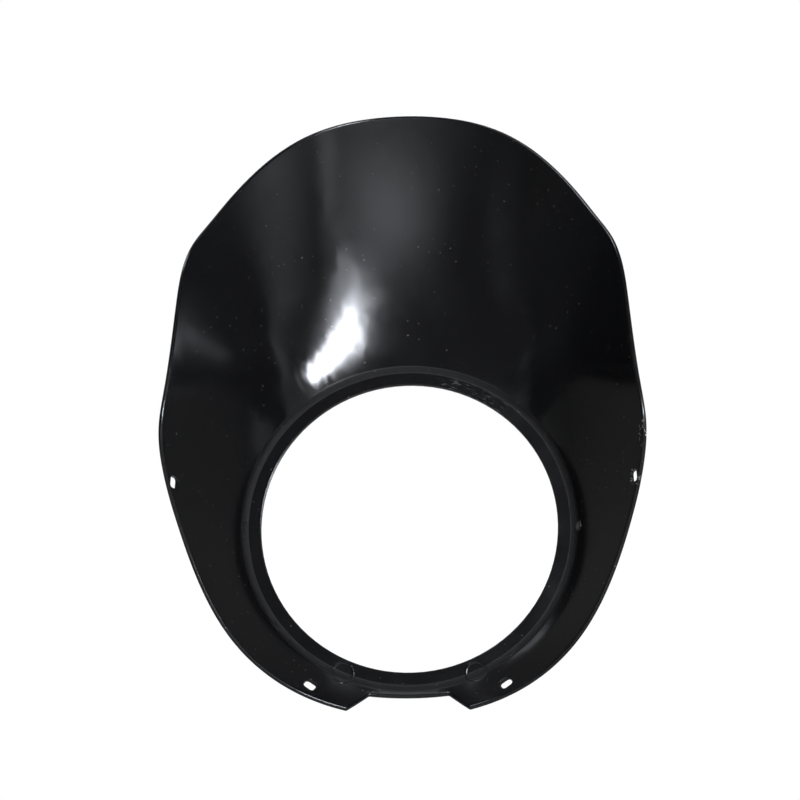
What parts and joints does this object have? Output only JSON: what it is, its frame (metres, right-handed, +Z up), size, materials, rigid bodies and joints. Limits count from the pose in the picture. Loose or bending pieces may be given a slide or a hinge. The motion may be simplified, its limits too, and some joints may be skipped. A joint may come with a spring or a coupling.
{
  "type": "headlight cowl",
  "caption": "Moulded headlight cowl: a curved shell with a tall swept screen, a flanged round headlamp opening, bracket slots and a notched bottom edge.",
  "frame": {"origin": "centre of the headlamp opening, on the front face of the flange around it", "axes": "+Y forward, out of the opening towards the road; +X to the rider's right; +Z up, towards the top of the screen"},
  "size_m": [0.2492, 0.0876, 0.3254],
  "materials": {
    "cowl": "gloss black moulded ABS"
  },
  "bodies": {
    "root": {"headlight_cowl": "cowl"}
  },
  "joints": []
}
